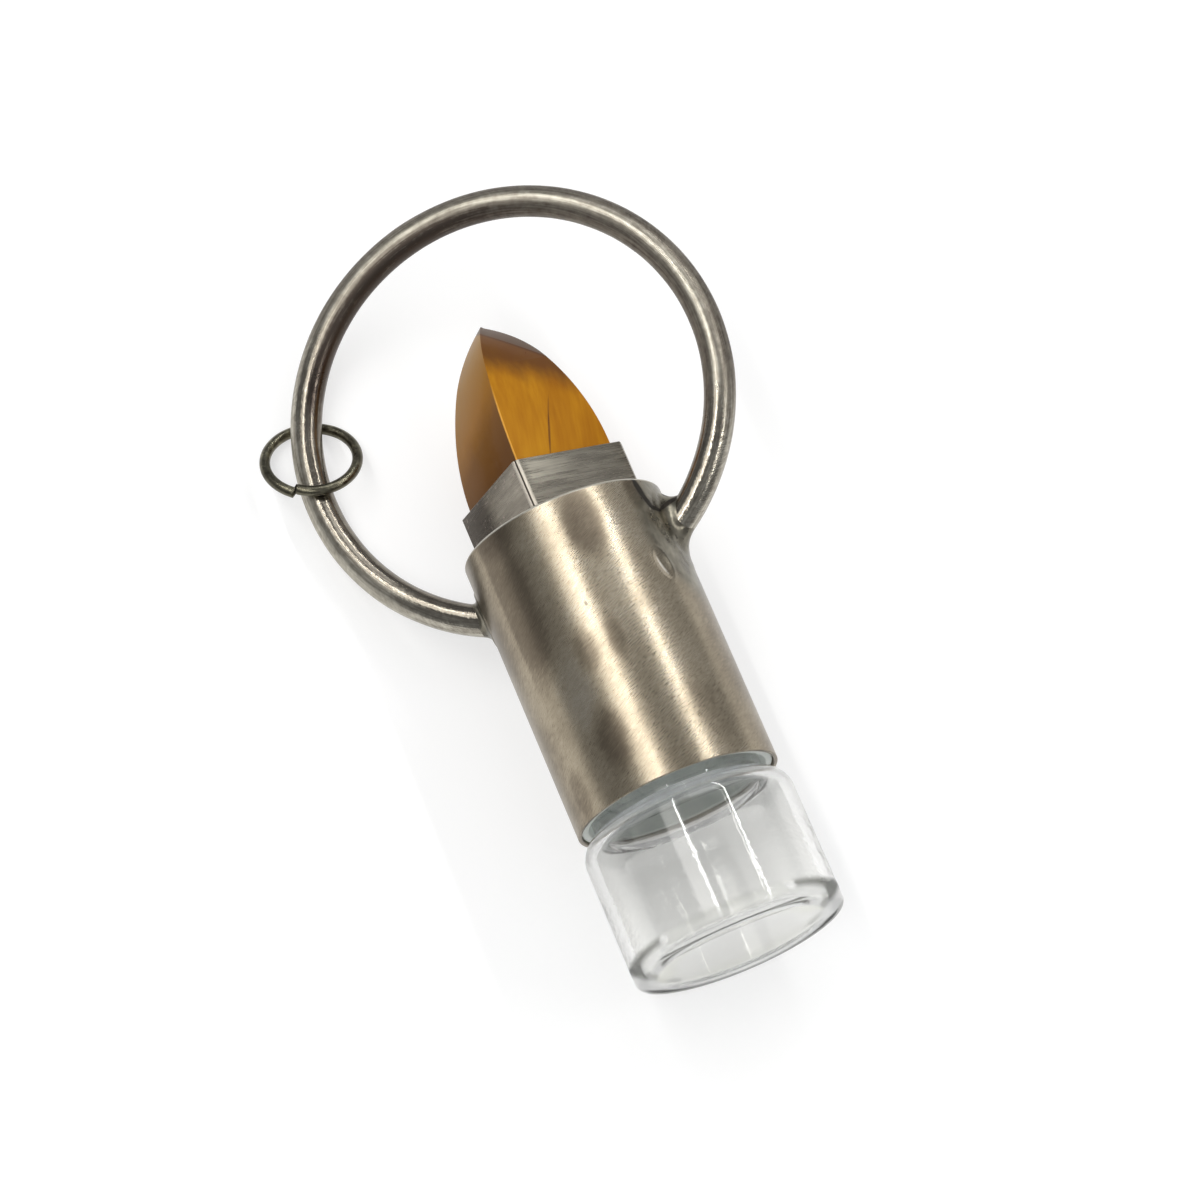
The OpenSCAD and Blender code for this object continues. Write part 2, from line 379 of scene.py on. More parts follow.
class Finish:
    """A material under way: its node tree, its Principled shader, and what feeds them."""

    def __init__(self, name, **sockets):
        self.material = bpy.data.materials.new(name)
        self.material.use_nodes = True
        self.tree = self.material.node_tree
        self.surface = self.tree.nodes["Principled BSDF"]
        self.set(**sockets)

    def add(self, kind, settings, inputs, out=0):
        """One node of a kind, with its settings, and its inputs set or linked. Gives one output."""
        node = self.tree.nodes.new(kind)
        for name, value in settings.items():
            if name == "stops":
                self.set_stops(node.color_ramp, value)
            else:
                setattr(node, name, value)
        for name, value in inputs.items():
            self.feed(node.inputs[name], value)
        return Number(self, node.outputs[out])

    def set_stops(self, ramp, stops):
        """Gives a colour ramp its stops, each a place from 0 to 1 and a colour."""
        while len(ramp.elements) < len(stops):
            ramp.elements.new(0.5)
        for element, (place, colour) in zip(ramp.elements, stops):
            element.position = place
            element.color = (*colour, 1)

    def feed(self, socket, value):
        """Links a varying value to a socket, or sets a fixed one on it."""
        if isinstance(value, Number):
            self.tree.links.new(value.socket, socket)
        else:
            socket.default_value = value

    def set(self, **sockets):
        """Sets or links sockets of the Principled shader, and gives the material back."""
        for socket, value in sockets.items():
            self.feed(self.surface.inputs[socket.replace("_", " ")], value)
        return self.material

    def upright(self):
        """The three upright coordinates of the surface, in millimetres."""
        place = self.add("ShaderNodeTexCoord", {}, {}, "Object")
        lie = {"Location": LYING.to_translation(), "Rotation": LYING.to_euler(), "Scale": (MM, MM, MM)}
        back_up = self.add("ShaderNodeMapping", {"vector_type": "TEXTURE"}, {"Vector": place, **lie})
        return [self.add("ShaderNodeSeparateXYZ", {}, {"Vector": back_up}, axis) for axis in "XYZ"]

    def point(self, x, y, z):
        """A place in the noise, from its three coordinates."""
        return self.add("ShaderNodeCombineXYZ", {}, {"X": x, "Y": y, "Z": z})

    def grain(self, x, y, z, detail=3.0, roughness=0.55):
        """Noise from 0 to 1 at a place given by three numbers."""
        inputs = {"Vector": self.point(x, y, z), "Scale": 1.0, "Detail": detail, "Roughness": roughness}
        return self.add("ShaderNodeTexNoise", {}, inputs, "Fac")

    def between(self, value, low, high, start=0.0, end=1.0):
        """Smooth change from start to end as a value goes from low to high."""
        inputs = {0: value, 1: low, 2: high, 3: start, 4: end}
        return self.add("ShaderNodeMapRange", {"interpolation_type": "SMOOTHSTEP"}, inputs)

    def spot(self, across, up, middle, size):
        """A soft round mask, 1 at its middle and 0 at its edge, size being its half width and height."""
        far = ((across - middle[0]) / size[0]) ** 2 + ((up - middle[1]) / size[1]) ** 2
        return self.between(far, 0.0, 1.0, 1.0, 0.0)

    def spots(self, across, up, marks):
        """The sum of soft round masks, each given by its middle, size and strength."""
        return sum(self.spot(across, up, *place) * strength for *place, strength in marks)

    def streak(self, across, up, start, end, width):
        """A soft mask round a straight line from start to end, width being its half width."""
        run = math.dist(start, end)
        way = ((end[0] - start[0]) / run, (end[1] - start[1]) / run)
        across = across - (start[0] + end[0]) / 2
        up = up - (start[1] + end[1]) / 2
        along = across * way[0] + up * way[1]
        aside = up * way[0] - across * way[1]
        return self.spot(along, aside, (0.0, 0.0), (run / 2 + width, width))

    def streaks(self, across, up, marks):
        """The sum of soft line masks, each given by its start, end, width and strength."""
        return sum(self.streak(across, up, *line) * strength for *line, strength in marks)

    def colours(self, value, *stops):
        """A colour that runs through the stops as a value goes from 0 to 1."""
        return self.add("ShaderNodeValToRGB", {"stops": stops}, {"Fac": value}, "Color")

    def mix(self, share, first, second):
        """The first colour, with a share of the second mixed in."""
        pair = [c if isinstance(c, Number) else (*c, 1) for c in (first, second)]
        inputs = {0: share, 6: pair[0], 7: pair[1]}
        return self.add("ShaderNodeMix", {"data_type": "RGBA"}, inputs, 2)

    def bump(self, height, depth_mm, normal=None):
        """The normal of a surface with relief, a height of 1 standing depth_mm proud."""
        inputs = {"Height": height, "Distance": depth_mm * MM, "Strength": 1.0}
        if normal:
            inputs["Normal"] = normal
        return self.add("ShaderNodeBump", {}, inputs)


# Marks on the surfaces, placed one by one

BRUSH_SLANT = math.radians(27)

# Stains and painted dark reflections on the cap, in degrees round it and millimetres up: middle, half
# sizes, darkness
CAP_STAINS_AND_SHADE = (
    ((23, 42.6), (14, 5.0), 2.1),
    ((-31, 40.5), (17, 12.0), 0.7),
    ((-25, 46.5), (26, 4.0), 1.0),
    ((-3, 30.6), (9, 3.0), 1.0),
    ((14, 30.6), (6, 3.0), 1.0),
    ((-9, 21.6), (12, 4.6), 1.2),
    ((-43, 18.6), (9, 3.4), 0.8),
    ((-20, 27.5), (16, 6.5), -0.8),
    ((46, 20.5), (18, 5.0), 0.3),
    ((60, 45.0), (9, 4.0), 1.2),
    ((6.5, 34.7), (1.1, 0.35), 1.4),
)

# The solder's greyed patch on the cap, in degrees and millimetres: middle and half sizes
SOLDER_PATCH = ((82, 40.2), (33, 8.6))

# Painted shadow lines in the creases at the solder's edge, in millimetres round the cap and up: start, end,
# half width, strength
SOLDER_SHADOW_LINES = (
    ((11.45, 45.8), (12.05, 43.6), 0.55, 1.0),
    ((12.0, 43.9), (12.6, 42.7), 0.48, 1.0),
    ((12.4, 42.8), (13.8, 42.4), 0.34, 1.0),
    ((13.7, 42.4), (16.2, 43.7), 0.26, 1.0),
)
SOLDER_DOT = ((15.9, 44.3), (0.3, 0.35))
SPECKLED = ((12.0, 42.6), (13.4, 38.4), 0.8)
DIMPLE_GLINT = ((10.12, 37.3), (10.85, 35.2), 0.26)

# The setting's near corner, and the half width of the groove down it, which is painted dark as shade
NEAR_CORNER_Y = -8.8
GROOVE_W = 0.05

# Dark seams in the stone's right face, in millimetres across and up: start, end, half width, strength
STONE_SEAMS = (
    ((2.6, 5.0), (4.2, 11.0), 0.12, 0.85),
    ((3.5, 8.6), (4.7, 12.9), 0.09, 0.5),
)

# Colours that a tone runs through, from dark to light
CAP_SILVER = (
    (0.0, (0.096, 0.076, 0.057)), (0.35, (0.195, 0.161, 0.118)),
    (0.6, (0.37, 0.316, 0.234)), (1.0, (0.61, 0.56, 0.475)),
)
SOLDER_GREY = (
    (0.3, (0.125, 0.113, 0.088)), (0.55, (0.195, 0.179, 0.141)),
    (0.8, (0.305, 0.283, 0.226)),
)
SETTING_SILVER = (
    (0.0, (0.076, 0.067, 0.057)), (0.45, (0.225, 0.205, 0.17)),
    (1.0, (0.56, 0.52, 0.43)),
)
WIRE_SILVER = (
    (0.0, (0.08, 0.064, 0.053)), (0.45, (0.26, 0.236, 0.195)),
    (0.7, (0.46, 0.432, 0.365)), (1.0, (0.68, 0.645, 0.56)),
)
RING_BRONZE = (
    (0.3, (0.06, 0.055, 0.04)), (0.55, (0.145, 0.135, 0.098)),
    (0.75, (0.34, 0.32, 0.22)),
)
STONE_GOLD = (
    (0.3, (0.31, 0.115, 0.008)), (0.5, (0.405, 0.168, 0.01)),
    (0.7, (0.5, 0.235, 0.014)),
)
STONE_BROWN_AND_SHADE = (
    (0.34, (0.105, 0.04, 0.008)), (0.52, (0.165, 0.068, 0.012)),
    (0.64, (0.3, 0.13, 0.018)), (0.9, (0.36, 0.19, 0.04)),
)
# The glass's faint tint, darker towards its base and its neck as painted shade
GLASS_TINT_AND_SHADE = (
    (0.08, (0.81, 0.81, 0.785)), (0.2, (0.955, 0.955, 0.94)),
    (0.4, (0.94, 0.94, 0.925)), (0.63, (0.88, 0.88, 0.865)),
    (0.95, (0.825, 0.827, 0.815)),
)
FLOOR_WHITE = ((0.3, (0.97, 0.97, 0.97)), (0.7, (1.0, 1.0, 1.0)))

# Single colours
PIT_DARK = (0.05, 0.046, 0.038)
SHADOW_AND_SPECK_DARK = (0.04, 0.034, 0.028)
GLINT = (0.8, 0.76, 0.68)
WORN_RIM_HIGHLIGHT = (0.7, 0.68, 0.61)
SHADED_SIDE_TINT = (0.26, 0.22, 0.18)
WORN_COPPER = (0.42, 0.35, 0.31)
CORNER_HIGHLIGHT = (0.58, 0.53, 0.46)
GROOVE_SHADE = (0.045, 0.033, 0.026)
STONE_TIP = (0.105, 0.042, 0.014)
RIDGE_HIGHLIGHT = (0.8, 0.4, 0.07)
STONE_SEAM = (0.13, 0.05, 0.014)
BEVEL_RIM_SHADE = (0.05, 0.022, 0.012)
BEVEL_SHEEN = (0.105, 0.07, 0.05)
GLASS_EDGE_SHADE = (0.5, 0.5, 0.48)
GLASS_CORNER = (0.82, 0.83, 0.76)
GLASS_OLIVE = (0.74, 0.745, 0.65)
GLASS_SHADE_LINE = (0.2, 0.2, 0.18)
INNER_CAP_GREY = ((0.64, 0.68, 0.64), (0.74, 0.77, 0.73))
DISC_BLUE_GREY = ((0.39, 0.44, 0.48), (0.48, 0.54, 0.58))
BLACK = (0.0, 0.0, 0.0)


# Finishes


def brushed_cap_finish():
    """Antique silver over brass, brushed at a slant round the cap, stained, and soldered at its sides, with
    painted shade, dark reflections and highlights in its colour.
    """
    f = Finish("brushed_antique_silver", Metallic=1.0)
    x, y, z = f.upright()
    turn = x.angle(0 - y)
    around = turn * CAP_R
    degrees = turn * (180 / math.pi)

    # The brushed silver with its stains, and painted shade and dark reflections
    along = around * math.cos(BRUSH_SLANT) + z * math.sin(BRUSH_SLANT)
    across = z * math.cos(BRUSH_SLANT) - around * math.sin(BRUSH_SLANT)
    fine = f.grain(along * 1.3, across * 13.0, 0.0)
    broad = f.grain(along * 0.5, across * 2.2, 4.0)
    cloud = f.grain(x * 0.16, y * 0.16, z * 0.13, detail=2.0)
    # Painted dark reflection in a band on the left, and painted shade on the cap's left and right sides
    dark_reflection_band = f.between(degrees, -44.5, -40.5) * f.between(degrees, -10, -26) * f.between(z, 27, 33)
    sides = f.between(degrees, -38, -60) + f.between(degrees, 58, 80) * 0.9
    stains_and_shade = f.spots(degrees, z, CAP_STAINS_AND_SHADE) + dark_reflection_band * 0.75 + sides
    tone = 0.6 + (cloud - 0.5) * 0.5 + (broad - 0.5) * 0.22 + (fine - 0.5) * 0.6 - stains_and_shade * 0.22
    silver = f.colours(tone, *CAP_SILVER)

    # The solder: the fillets, which stand beyond the wall, and the patch that it greyed
    beyond = f.between((x * x + y * y) ** 0.5, CAP_R + 0.02, CAP_R + 0.12)
    solder = (f.spot(degrees, z, *SOLDER_PATCH) * 1.8 + beyond).held()
    waves = f.grain(x * 0.7, y * 0.7, z * 0.7, detail=2.0)
    pits = f.between(f.grain(x * 2.4, y * 2.4, z * 2.4, detail=1.0), 0.66, 0.74)
    grey = f.mix(pits * beyond * 0.8, f.colours(waves, *SOLDER_GREY), PIT_DARK)
    # Painted shadow lines along the solder's edge, with a real dark speck at their end
    shadow_lines_and_speck = f.streaks(around, z, SOLDER_SHADOW_LINES) + f.spot(around, z, *SOLDER_DOT)
    specks = f.between(f.grain(x * 3.5, y * 3.5, z * 3.5, detail=1.0), 0.5, 0.6)
    specks = specks * f.streak(around, z, *SPECKLED)
    # The worn upper rim, painted lighter as a highlight along its edge
    worn = f.between(z, CAP_TOP - 0.34, CAP_TOP - 0.16) * (1 - beyond)

    colour = f.mix(solder, silver, grey)
    # Painted shadow lines and the solder's dark specks
    colour = f.mix(((shadow_lines_and_speck * 1.7 + specks * 0.6) * 0.9).held(), colour, SHADOW_AND_SPECK_DARK)
    colour = f.mix(f.streak(around, z, *DIMPLE_GLINT) * 0.7, colour, GLINT)
    f.set(Base_Color=f.mix(worn * 0.75, colour, WORN_RIM_HIGHLIGHT))
    brushed = 0.34 - tone * 0.1 + (fine - 0.5) * 0.2
    melted = 0.22 + waves * 0.14
    f.set(Roughness=brushed * (1 - solder) + melted * solder + worn * 0.1 + shadow_lines_and_speck.held() * 0.25)
    marks = f.bump((fine + broad * 0.1) * (1 - solder), depth_mm=0.006)
    return f.set(Normal=f.bump(waves * solder * 0.25 - specks * 0.2, depth_mm=0.25, normal=marks))


def brushed_setting_finish():
    """The setting's metal: level brush marks and pits, with painted shade on its left side, rubbed and
    painted lighter on its upper right face, a painted highlight on the near corner and painted shade in a
    groove down it.
    """
    f = Finish("brushed_setting", Metallic=1.0)
    x, y, z = f.upright()
    height = z - CAP_TOP
    marks = f.grain(x * 0.22, y * 0.22, z * 5.5)
    wide = f.grain(x * 0.3, y * 0.3, z * 1.4, detail=2.0)
    pits = f.grain(x * 2.2, y * 2.2, z * 2.2, detail=2.0)
    left = f.between(x, 0.0, -0.3)
    far_left = f.between(x, -4.2, -6.6)
    rubbed = f.between(x, 0.5, 1.0) * f.between(x, 5.2, 2.0) * f.between(height, 2.2, 3.6)
    # Painted shade: the left side darker, far darker towards the far left, and given a shaded tint
    tone = 0.52 + (marks - 0.5) * 0.35 + (wide - 0.5) * (0.35 + left * 0.3) - left * 0.08 - far_left * 0.65
    # The upper part of the right face is lighter, partly rubbed and partly painted light, with its brush
    # marks drawn stronger
    tone = tone + rubbed * (0.22 + (marks - 0.5) * 0.9)
    worn = f.between(pits, 0.62, 0.72) * (0.35 + left * 0.65)
    corner = f.between(y, NEAR_CORNER_Y + 0.06, NEAR_CORNER_Y - 0.06)
    # Painted shade in the groove down the near corner
    shaded_groove = corner * f.between(x.size(), GROOVE_W * 2, GROOVE_W)

    colour = f.mix(left * 0.2, f.colours(tone, *SETTING_SILVER), SHADED_SIDE_TINT)
    colour = f.mix(worn * 0.45, colour, WORN_COPPER)
    # Painted highlight on the near corner's flat
    colour = f.mix(corner * 0.75, colour, CORNER_HIGHLIGHT)
    f.set(Base_Color=f.mix(shaded_groove * 0.92, colour, GROOVE_SHADE))
    f.set(Roughness=0.28 + (marks - 0.5) * 0.15 + shaded_groove * 0.3 + corner * 0.2)
    return f.set(Normal=f.bump(marks + wide * 0.5 - worn * 0.7 - shaded_groove * 4.0, depth_mm=0.012))


def drawn_wire_finish():
    """The hoop's wire: drawn lines along it, rubbed matt on the outside and shiny inside, with painted
    shade inside and along the satin top's outer edge, and a painted highlight along the satin top's middle.
    """
    f = Finish("drawn_antique_wire", Metallic=1.0)
    x, y, z = f.upright()
    height = z - HOOP_Z
    turn = x.angle(height)
    degrees = turn * (180 / math.pi)
    along = turn * HOOP_R
    out = (x * x + height * height) ** 0.5 - HOOP_R
    round_wire = y.angle(out) * WIRE_R
    drawn = f.grain(along * 0.2, round_wire * 4.5, 0.0)
    dents = f.grain(along * 1.1, round_wire * 1.3, 2.0, detail=2.0)
    rubbed = f.grain(along * 3.0 + round_wire * 2.0, round_wire * 0.8, 5.0)
    dots = f.grain(along * 2.6, round_wire * 2.6, 9.0, detail=1.0)

    # Places on the wire: its outside and inside, its matt top, its top left, where the inside gets the
    # darkest painted shade, and its rubbed left side
    outside = f.between(out, 0.1, 1.2)
    inside = f.between(out, 0.1, -0.8)
    satin = f.between(degrees, -62, -30) * f.between(degrees, 128, 100)
    top_left = f.between(degrees, -75, -50) * f.between(degrees, 45, -5)
    matt = f.between(out, -0.4, 0.15) * f.between(degrees, -58, -78) * f.between(degrees, -138, -120)

    tone = 0.43 + (drawn - 0.5) * 0.8 + (dents - 0.5) * 0.45 + (rubbed - 0.5) * outside * 0.4
    # Painted shade on the satin top's outer edge, and a painted highlight along its middle
    tone = tone + outside * (0.14 - satin * 0.36) + satin * (1 - outside) * (1 - inside) * 0.18
    # Painted shade on the inside, darkest at the top left
    tone = tone - inside * (0.14 + top_left * 0.35) + matt * 0.1
    f.set(Base_Color=f.colours(tone, *WIRE_SILVER))
    rough = 0.11 + outside * 0.16 + satin * 0.24 + matt * 0.22 + inside * 0.12
    f.set(Roughness=rough + (rubbed - 0.5) * 0.1)
    relief = drawn + dents * 0.35 + dots * (1 - satin) * 1.2 + rubbed * outside * 0.3
    return f.set(Normal=f.bump(relief, depth_mm=0.012))


def jump_ring_finish():
    """Dark olive bronze, rubbed lighter here and there."""
    f = Finish("dark_bronze", Metallic=1.0)
    x, y, z = f.upright()
    drawn = f.grain(x * 2.0, y * 2.0, z * 2.0)
    rub = f.grain(x * 0.6, y * 0.6, z * 0.6, detail=2.0)
    f.set(Base_Color=f.colours(rub * 0.7 + drawn * 0.3, *RING_BRONZE))
    f.set(Roughness=0.2 + drawn * 0.2)
    return f.set(Normal=f.bump(drawn, depth_mm=0.02))


def tiger_eye_finish():
    """Golden fibrous stone: upright silk, a brown band under the point and a dark seam, with painted shade
    on its left face, a painted highlight down its near ridge, a painted grey sheen on the bevel by its
    point and painted shade under that bevel.
    """
    shine = {"IOR": 1.54, "Specular_IOR_Level": 0.05, "Coat_Weight": 0.06, "Coat_Roughness": 0.05}
    f = Finish("golden_tiger_eye", **shine)
    x, y, z = f.upright()
    height = z - CAP_TOP
    lean = height * 0.2
    silk = f.grain((x - lean) * 2.2, (y - lean) * 2.2, height * 0.12, detail=3.0)
    broad = f.grain((x - lean) * 0.4, (y - lean) * 0.4, height * 0.12, detail=2.0)
    drift = (f.grain(x * 0.7, y * 0.7, height * 0.3, detail=2.0) - 0.5) * 2.2

    # Places on the stone: its point, its left side, its near ridge, and the bevel with the rim under it
    tip = f.between(height + drift + x * 0.6, 15.9, 19.4)
    from_ridge = x - (height - SETTING_H) * math.tan(STONE_LEAN)
    left = f.between(from_ridge, 0.06, -0.08)
    ridge = f.between(from_ridge.size(), 0.13, 0.03) * f.between(y, 0.0, -1.0)
    ridge = ridge * f.between(height, 16.0, 11.0)
    past = past_bevel(x, height)
    bevel = f.between(past, 0.0, 0.12) * f.between(y, 1.2, 0.8)
    rim = f.between(past, -0.25, -0.02) * f.between(y, 0.2, 0.0) * (1 - bevel)

    gold = f.colours(silk * 0.3 + broad * 0.5 + 0.1 - x * 0.012, *STONE_GOLD)
    brown_and_shade = f.colours((height + drift * 0.5 - x * 0.5) / STONE_H, *STONE_BROWN_AND_SHADE)
    colour = f.mix(tip * 0.9, gold, STONE_TIP)
    # The left face in painted shade, over the stone's own brown
    colour = f.mix(left * 0.94, colour, brown_and_shade)
    # Painted highlight down the near ridge
    colour = f.mix(ridge * 0.8, colour, RIDGE_HIGHLIGHT)
    colour = f.mix(f.streaks(x, height, STONE_SEAMS).held(), colour, STONE_SEAM)
    # Painted shade along the bevel's lower edge, and the bevel painted grey as a sheen
    colour = f.mix(rim * 0.5, colour, BEVEL_RIM_SHADE)
    f.set(Base_Color=f.mix(bevel * 0.9, colour, BEVEL_SHEEN))
    f.set(Roughness=0.3 + (silk - 0.5) * 0.1)
    return f.set(Normal=f.bump(silk, depth_mm=0.002))


def clear_glass_finish():
    """Clear glass, with the faint upright ripples of a drawn tube on the outside of its wall, and painted
    shade at its outline, towards its base and neck, and in a line under its foot.

    Its thick base and its neck let some light straight through, so that they stay as pale as in the photo.
    """
    f = Finish("clear_glass", Transmission_Weight=1.0, Roughness=0.0, IOR=1.5)
    x, y, z = f.upright()
    far = (x * x + y * y) ** 0.5
    facing = f.add("ShaderNodeLayerWeight", {}, {"Blend": 0.5}, "Facing")

    # Places on the vial: its outline, the base's thick corner and near olive ring, the neck, and the line
    # under the base's far half, which is painted as a dark shade line
    edge = f.between(facing, 0.45, 0.9) * f.between(z, 1.0, 2.0)
    corner = f.between(far, 8.3, 9.0) * f.between(z, 2.4, 1.5)
    base = f.between(far, 5.8, 7.6) * f.between(far, 9.95, 9.75) * f.between(z, 0.85, 0.7)
    olive = base * f.between(y, 2.0, -1.0)
    neck = f.between(z, SIDE_H - 0.4, SIDE_H + 0.8) * f.between(far, 10.4, 9.6)
    foot = f.between(z, 0.85, 0.6) * f.between(far, 9.95, 10.15) * f.between(y, 0.0, 4.0)
    outline = f.between(facing, 0.3, 0.45) * foot

    # Painted shade along the glass's outline
    tint = f.mix(edge * 0.85, f.colours(z / SIDE_H, *GLASS_TINT_AND_SHADE), GLASS_EDGE_SHADE)
    tint = f.mix(corner, tint, GLASS_CORNER)
    tint = f.mix(olive, tint, GLASS_OLIVE)
    # Painted shade line under the foot's far half
    f.set(Base_Color=f.mix(outline, tint, GLASS_SHADE_LINE))
    f.set(Metallic=outline * 0.85)
    f.set(Alpha=1 - corner * (1 - outline) * 0.68 - neck * 0.3)
    ripples = f.grain(x * 0.9, y * 0.9, z * 2.0, detail=2.0, roughness=0.5)
    wall = f.between(far, 10.3, 10.75) * f.between(z, SIDE_H - 1.5, SIDE_H - 5.0)
    return f.set(Normal=f.bump(ripples * wall, depth_mm=0.032))


def milky_plastic_finish(name, colours, painted_glow):
    """Satin milky plastic, with a faint cloud in its colour, and a painted glow that stands in for the
    light it lets through.
    """
    f = Finish(name, Emission_Strength=painted_glow)
    x, y, z = f.upright()
    cloud = f.grain(x * 0.35, y * 0.35, z * 0.35, detail=3.0)
    specks = f.grain(x * 3.0, y * 3.0, z * 3.0, detail=2.0)
    colour = f.colours(cloud, (0.3, colours[0]), (0.7, colours[1]))
    f.set(Base_Color=colour, Emission_Color=colour)
    f.set(Roughness=0.4 + (specks - 0.5) * 0.1)
    return f.set(Normal=f.bump(specks, depth_mm=0.004))


def floor_finish():
    """A white floor that glows softly, so that shadows on it stay pale."""
    f = Finish("pale_floor", Roughness=0.8, Emission_Strength=0.6)
    place = f.add("ShaderNodeTexCoord", {}, {}, "Object")
    cloud = f.add("ShaderNodeTexNoise", {}, {"Vector": place, "Scale": 3.0}, "Fac")
    white = f.colours(cloud, *FLOOR_WHITE)
    f.set(Base_Color=f.mix(0.55, white, BLACK))
    return f.set(Emission_Color=white)


# Pieces


def thread_height(point):
    """How far the thread's ridge lifts a point of the neck, from 0 to the thread's depth."""
    lift = 0.0
    turns = (math.atan2(point.y, point.x) / math.tau) % 1.0
    while turns <= THREAD_TURNS:
        ridge_z = MOUTH_Z - THREAD_START - (THREAD_TURNS - turns) * THREAD_PITCH
        fade = min(1.0, turns * THREAD_FADE, (THREAD_TURNS - turns) * THREAD_FADE)
        away = abs(point.z - ridge_z)
        slope = (THREAD_FOOT / 2 - away) / (THREAD_FOOT / 2 - THREAD_CREST / 2)
        lift = max(lift, THREAD_DEPTH * fade * eased(max(0.0, min(1.0, slope))))
        turns += 1
    return lift


def glass_vial():
    """The vial: one turned wall with a push-up base, rounded shoulder and threaded neck."""
    foot_in = VIAL_R - BASE_ROUND - FOOT_W
    push_arc = (foot_in**2 + PUSH_UP**2) / (2 * PUSH_UP)
    push_turn = math.degrees(math.asin(foot_in / push_arc))
    shoulder_arc = (SHOULDER_W**2 + SHOULDER_H**2) / (2 * SHOULDER_W)
    shoulder_turn = math.degrees(math.asin(SHOULDER_H / shoulder_arc))
    shoulder_top = (VIAL_R - SHOULDER_W - SHOULDER_ROUND, SIDE_H + SHOULDER_H - SHOULDER_ROUND)
    neck_low = SIDE_H + SHOULDER_H + NECK_ROUND
    lip = (NECK_R - BORE_R) * LIP_SHARE
    neck_top = MOUTH_Z - lip
    inner = VIAL_R - VIAL_WALL
    step = inner - BORE_R
    bore_low = SIDE_H + step + BORE_ROUND
    side_low = FLOOR_T + FLOOR_ROUND

    def floor_z(r):
        return PUSH_UP - push_arc + math.sqrt((push_arc + FLOOR_T) ** 2 - r * r)

    # Outside, from the middle of the base up to the mouth
    profile = arc((0, PUSH_UP - push_arc), push_arc, 90, 90 - push_turn, 14)
    profile[0] = (0, PUSH_UP)
    profile += arc((VIAL_R - BASE_ROUND, BASE_ROUND), BASE_ROUND, -90, 0, 14)
    profile += [(VIAL_R, BASE_ROUND + (SIDE_H - BASE_ROUND) * i / 12) for i in range(1, 12)]
    profile += arc((VIAL_R - shoulder_arc, SIDE_H), shoulder_arc, 0, shoulder_turn - 6, 10)
    profile += arc(shoulder_top, SHOULDER_ROUND, shoulder_turn, 90, 4)
    profile += arc((NECK_R + NECK_ROUND, neck_low), NECK_ROUND, 270, 180, 4)
    rise = (neck_top - neck_low) / NECK_ROWS
    profile += [(NECK_R, neck_low + rise * i) for i in range(1, NECK_ROWS + 1)]
    profile += arc((NECK_R - lip, neck_top), lip, 12, 90, 6)

    # Inside, from the mouth down to the middle of the floor
    profile += arc((BORE_R + lip, neck_top), lip, 100, 180, 5)
    profile += [(BORE_R, MOUTH_Z - 3), (BORE_R, SIDE_H + 4)]
    profile += arc((BORE_R + BORE_ROUND, bore_low), BORE_ROUND, 180, 265, 5)
    profile += arc((inner - step, SIDE_H), step, 66, 0, 9)
    profile += [(inner, side_low + (SIDE_H - side_low) * (1 - i / 10)) for i in range(1, 10)]
    corner = arc((inner - FLOOR_ROUND, side_low), FLOOR_ROUND, 0, -90, 24)
    profile += [(r, z) for r, z in corner if z > floor_z(r)]
    floor_r = profile[-1][0]
    profile += [(floor_r * (1 - i / 14), floor_z(floor_r * (1 - i / 14))) for i in range(1, 15)]

    piece = spun("glass_vial", profile)
    for vertex in piece.data.vertices:
        out = vertex.co.xy.length
        if out > NECK_R - 0.01 and vertex.co.z > neck_low:
            vertex.co.xy *= (out + thread_height(vertex.co)) / out
    return piece


def inner_cap_piece():
    """The grey inner cap in the metal cap's mouth, with softened rims."""
    rim = LINER_RIM_ROUND
    profile = [(0, LINER_TOP)]
    profile += arc((LINER_R - LINER_ROUND, LINER_TOP - LINER_ROUND), LINER_ROUND, 90, 0, 5)
    profile += arc((LINER_R - rim, LINER_Z + rim), rim, 0, -90, 5)
    profile += arc((LINER_IN + rim, LINER_Z + rim), rim, -90, -180, 5)
    profile += [(LINER_IN, LINER_ROOF), (0, LINER_ROOF)]
    return spun("inner_cap_body", profile)


def sealing_disc():
    """The soft disc that the vial's mouth presses on, with a shallow wide groove below."""
    groove_z = SEAL_Z + GROOVE_DEEP
    edge = SEAL_R - SEAL_ROUND
    profile = [(0, SEAL_Z + SEAL_T)]
    profile += arc((edge, SEAL_Z + SEAL_T - SEAL_ROUND), SEAL_ROUND, 90, 0, 4)
    profile += arc((edge, SEAL_Z + SEAL_ROUND), SEAL_ROUND, 0, -90, 4)
    profile += [(GROOVE_OUT, SEAL_Z), (GROOVE_OUT - 0.2, groove_z)]
    profile += [(GROOVE_IN + 0.1, groove_z), (GROOVE_IN, SEAL_Z), (0, SEAL_Z)]
    return spun("sealing_disc", profile)


def level_at(edge, z):
    """Whether an edge lies level at a height."""
    return all(abs(vertex.co.z - z) < 0.005 for vertex in edge.verts)


def at_top(edge):
    """Whether an edge runs round the cap's upper rim."""
    return level_at(edge, CAP_TOP) and abs(edge_middle(edge).xy.length - CAP_R) < 0.05


def at_mouth(edge):
    """Whether an edge runs round the cap's mouth, along its outer or its inner rim."""
    return level_at(edge, CAP_Z) and abs(edge_way(edge).dot(edge_middle(edge).normalized())) < 0.3


